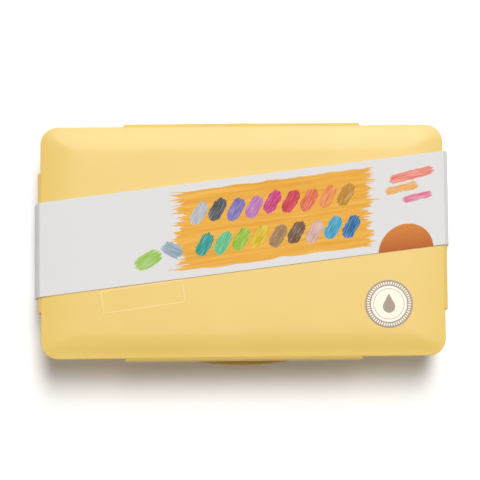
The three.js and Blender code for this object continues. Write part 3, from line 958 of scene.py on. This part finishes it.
def band_piece(name, path, start_along, material):
    """A stretch of the card band that follows a path of (x, z) points, thickened to its left, and
    unrolled for its print from a place along the band."""
    count = len(path)
    along = [start_along]
    for before, after in zip(path, path[1:]):
        along.append(along[-1] + (after - before).length)
    vertices = []
    prints = []
    for side in (0, card):
        for i, point in enumerate(path):
            ahead = (path[min(i + 1, count - 1)] - path[max(i - 1, 0)]).normalized()
            place = point + Vector((-ahead.y, ahead.x)) * side
            for line in range(band_lines):
                across = (line / (band_lines - 1) - 0.5) * band_width
                vertices.append((place.x, band_centre + band_lean * place.x + across, place.y))
                prints.append((along[i], across))
    piece = sheet_piece(name, vertices, count, band_lines, material)
    unrolled = piece.data.uv_layers.new(name="band")
    for loop in piece.data.loops:
        unrolled.data[loop.index].uv = prints[loop.vertex_index]
    return piece


def band_line():
    """The band's underside from the lid's middle to its right fold: flat, down over the lid's
    crown, and straight on to just above the lid's edge. The face ends one point before the fold."""
    line = [Vector((0, lid_high.z + band_gap))]
    for share, _ in reversed(crown_shares):
        if share >= taut_share:
            _, from_end, height = crown_at(share)
            line.append(Vector((half_length - from_end, height + band_gap)))
    crown = line[-1]
    fold = Vector((half_length + fold_out, edge_top + card + fold_lift))
    line.append(crown.lerp(fold, (face_end - crown.x) / (fold.x - crown.x)))
    line.append(fold)
    return line


def sleeve_face(material):
    """The band's face on the lid, between the folds."""
    right = band_line()[1:-1]
    left = [Vector((-point.x, point.y)) for point in reversed(right)]
    across = [left[-1].lerp(right[0], step / face_steps) for step in range(1, face_steps)]
    face = band_piece("sleeve_face", left + across + right, -face_end, material)
    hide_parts("sleeve_top")
    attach(face, "sleeve_top")


def sleeve_end(side, material):
    """One end of the band: its last stretch on the lid, the fold, and the flap, which bends twice
    round the latch's barrel and goes on over its lip."""
    name = "right" if side > 0 else "left"
    start, fold = band_line()[-2:]
    hinge = Vector(joint_places["latch_right_hinge"])
    points = [start, fold]
    for bend in barrel_bends:
        angle = math.radians(bend)
        heading = Vector((math.cos(angle), math.sin(angle)))
        points.append(hinge.xz + heading * (barrel_radius + band_gap))
    points.append(Vector((flap_out, latch_low.z + lip_thickness + band_gap)))
    points.append(Vector((flap_out, end_low.z - seam)))
    path = rounded_path(points, fold_round, fold_steps)
    begin = face_end
    if side < 0:
        path = [Vector((-point.x, point.y)) for point in reversed(path)]
        begin = -face_end - sum((after - before).length for before, after in zip(path, path[1:]))
    end = band_piece("sleeve_end_" + name, path, begin, material)
    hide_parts("sleeve_" + name)
    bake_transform(end)


def sleeve_tail(material):
    """The rest of the band: under the tub, with both ends turned up to the latches' lips."""
    points = [
        Vector((flap_out, tail_high.z + seam)),
        Vector((tub_foot, tail_low.z + card)),
        Vector((-tub_foot, tail_low.z + card)),
        Vector((-flap_out, tail_high.z + seam)),
    ]
    path = rounded_path(points, fold_round, fold_steps)
    tail = band_piece("sleeve_tail", path, bare_stretch, material)
    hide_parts("sleeve_bottom")
    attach(tail, "sleeve_bottom")


# Paint and brushes


def paint_fill(number, material):
    """A cup's paint, stirred into a shallow swirl."""
    node = "paint_%02d" % number
    low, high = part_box(node)
    middle = (low + high) / 2
    size = high - low
    rings = []
    for share, height in fill_foot:
        outline = rounded_outline(size.x * share, size.y * share, fill_corner, fill_corner_steps)
        level = low.z + size.z * height
        rings.append([(middle.x + x, middle.y + y, level) for x, y in outline])
    outline = rounded_outline(size.x, size.y, fill_corner, fill_corner_steps)
    arms = 2 if number % 3 else 1
    turn = 1 if number % 2 else -1
    for ring in range(1, swirl_rings + 1):
        share = 1 - ring / (swirl_rings + 1)
        points = []
        for x, y in outline:
            reach = share * math.hypot(x, y) / (size.y / 2)
            winding = arms * math.atan2(y, x) + turn * swirl_winding * reach
            curl = math.sin(winding + number * swirl_turn)
            fade = math.sin(math.pi * min(reach * fade_reach + fade_start, 1)) ** fade_power
            fade *= 1 - share**wall_power
            height = high.z - fill_dip * (1 - share**dip_power) + swirl_depth * curl * fade
            points.append((middle.x + x * share, middle.y + y * share, height))
        rings.append(points)
    fill = ring_piece("paint_fill_%02d" % number, rings, material, sharp=60)
    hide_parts(node)
    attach(fill, "cup_%02d" % number)


def turned_piece(name, node, profile, material, body):
    """A piece turned round the middle of a node along X. The profile gives shares of the node's
    length and of its half height."""
    low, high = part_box(node)
    middle = (low + high) / 2
    rings = []
    for along, out in profile:
        radius = max(out, least_share) * (high.z - low.z) / 2
        ring = []
        for side in range(turned_sides):
            angle = side / turned_sides * math.tau
            ring.append((
                low.x + along * (high.x - low.x),
                middle.y + radius * math.cos(angle),
                middle.z + radius * math.sin(angle),
            ))
        rings.append(ring)
    piece = ring_piece(name, rings, material, sharp=40)
    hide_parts(node)
    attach(piece, body)


def hair_head(number, material):
    """A brush's hair: a bundle of tapered filaments."""
    node = "brush_%d_hair" % number
    low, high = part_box(node)
    middle = (low + high) / 2
    half = (high - low) / 2
    luck = random.Random(number)
    golden_turn = math.pi * (3 - math.sqrt(5))
    vertices = []
    faces = []
    for strand in range(hair_strands):
        reach = math.sqrt((strand + 0.5) / hair_strands)
        y = math.cos(strand * golden_turn) * reach * hair_bundle
        z = math.sin(strand * golden_turn) * reach * hair_bundle
        tip = 1 - hair_dome * reach**2 - hair_uneven * luck.random()
        first = len(vertices)
        for station in range(strand_stations):
            share = station / (strand_stations - 1)
            along = share * tip
            gather = eased(hair_shares, along)
            thick = hair_thickness * (1 - hair_taper * share)
            for side in range(strand_sides):
                angle = side / strand_sides * math.tau
                vertices.append((
                    low.x + along * (high.x - low.x),
                    middle.y + half.y * (y * gather + thick * math.cos(angle)),
                    middle.z + half.z * (z * gather + thick * math.sin(angle)),
                ))
        for low_ring in range(first, first + (strand_stations - 1) * strand_sides, strand_sides):
            high_ring = low_ring + strand_sides
            for side in range(strand_sides):
                after = (side + 1) % strand_sides
                faces.append((low_ring + side, low_ring + after, high_ring + after, high_ring + side))
        faces.append(tuple(reversed(range(first, first + strand_sides))))
        faces.append(tuple(range(len(vertices) - strand_sides, len(vertices))))
    head = make_piece("hair_head_%d" % number, vertices, faces, material, sharp=70)
    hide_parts(node)
    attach(head, "brush_%d" % number)


def brushes(wood, metal, hair):
    """The three brushes in the trough."""
    handle_line = []
    for (start, _), (end, _) in zip(handle_shares, handle_shares[1:]):
        for step in range(handle_steps):
            along = start + (end - start) * step / handle_steps
            handle_line.append((along, eased(handle_shares, along)))
    handle_line.append(handle_shares[-1])
    for number in (1, 2, 3):
        body = "brush_%d" % number
        turned_piece("handle_%d" % number, body + "_handle", handle_line, wood, body)
        turned_piece("ferrule_%d" % number, body + "_ferrule", ferrule_shares, metal, body)
        hair_head(number, hair)


# Light, floor and camera


def studio():
    """A white floor and surround, dimmer overhead, and a long soft light that runs from above to
    behind, as overlapping patches at several heights."""
    signs = ((-1, -1), (1, -1), (1, 1), (-1, 1))
    corners = [(right * floor_reach, back * floor_reach, 0) for right, back in signs]
    make_piece("floor", corners, [(0, 1, 2, 3)], white_sweep())
    world = bpy.data.worlds.new("surround")
    bpy.context.scene.world = world
    world.use_nodes = True
    tree = world.node_tree
    tree.nodes.clear()
    path = add_node(tree, "LightPath")
    shown = [path.outputs["Is Camera Ray"], path.outputs["Is Transmission Ray"]]
    shown = add_node(tree, "Math", shown, "MAXIMUM")
    heading = add_node(tree, "TexCoord").outputs["Generated"]
    rise = add_node(tree, "SeparateXYZ", [heading]).outputs[2]
    ceiling = add_node(tree, "MapRange", [rise, ceiling_start, ceiling_end, 1, ceiling_strength])
    mirrored = add_node(tree, "Math", [path.outputs["Is Glossy Ray"], ceiling], "MULTIPLY")
    strength = add_node(tree, "Math", [shown, mirrored], "MAXIMUM")
    strength = add_node(tree, "Math", [strength, fill_strength], "MAXIMUM")
    tint = add_node(tree, "Mix", [shown, "FFF4EE", "FFFFFF"], data_type="RGBA")
    backdrop = add_node(tree, "Background", {"Color": tint, "Strength": strength})
    add_node(tree, "OutputWorld", {"Surface": backdrop})
    for height in key_heights:
        name = "strip_light_%d" % height
        data = bpy.data.lights.new(name, "SUN")
        data.energy = key_strength / len(key_heights)
        data.angle = math.radians(key_spread)
        lamp = add_object(name, data)
        rise = math.radians(height)
        onward = Vector((-key_lean, -math.cos(rise), -math.sin(rise)))
        lamp.rotation_euler = onward.to_track_quat("-Z", "Y").to_euler()


def photo_camera():
    """The photograph's view: almost straight down, from a little in front and to the left."""
    data = bpy.data.cameras.new("camera")
    data.lens = camera_lens
    data.sensor_width = camera_sensor
    camera = add_object("camera", data)
    camera.location = camera_place
    camera.rotation_euler = [math.radians(turn) for turn in camera_turn]
    bpy.context.scene.camera = camera


photo_camera()
studio()
bpy.context.scene.view_settings.view_transform = "Standard"

# The case, whose look is its colour, the shade of its clouds, and its roughness
case_look = ("E5C565", "E3C15F", 0.45)
case_plastic = moulded_polypropylene("moulded_polypropylene", *case_look)
lid_plastic = moulded_polypropylene("moulded_polypropylene_lid", *case_look, printed_outline)
lid_cover(lid_plastic)
gasket_ring(silicone_rubber())
dress("lid_sticker", printed_label(), edge=0.05 * MM)
dress("base_shell", case_plastic, edge=0.35 * MM)
for side in side_headings:
    dress("latch_" + side, case_plastic)
    hinge_web(side, case_plastic)

# What it holds
tray_plastic = moulded_polypropylene("moulded_polypropylene_tray", "F3C65C", "F0BF52", 0.32)
dress("cup_tray", tray_plastic, edge=0.3 * MM)
dress("palette", tray_plastic, edge=0.3 * MM)
cup_plastic = clear_polystyrene()
gouaches = {
    "silver": "C9C9CC", "teal": "4FB0A8", "blue": "2F86B4", "rose": "D9568C", "brown": "8A6A4E",
    "tan": "B4946C", "blush": "E3C6B8", "mint": "86CFA4", "sky": "5BB4CF", "red": "D94F5A",
    "coral": "EC8460", "gold": "C79A2E", "charcoal": "55585C", "lime": "A6CF55",
    "lilac": "9485BD", "orchid": "C993C4", "apricot": "EEA065", "yellow": "E6C62C",
}
for number, (name, colour) in enumerate(gouaches.items(), 1):
    dress("cup_%02d" % number, cup_plastic, edge=0.15 * MM)
    paint_fill(number, wet_gouache("gouache_" + name, colour, number))
brushes(lacquered_beech(), drawn_aluminium(), dyed_nylon_filament())

# The sleeve
coated_card = printed_card()
sleeve_face(coated_card)
sleeve_end(1, coated_card)
sleeve_end(-1, coated_card)
sleeve_tail(coated_card)
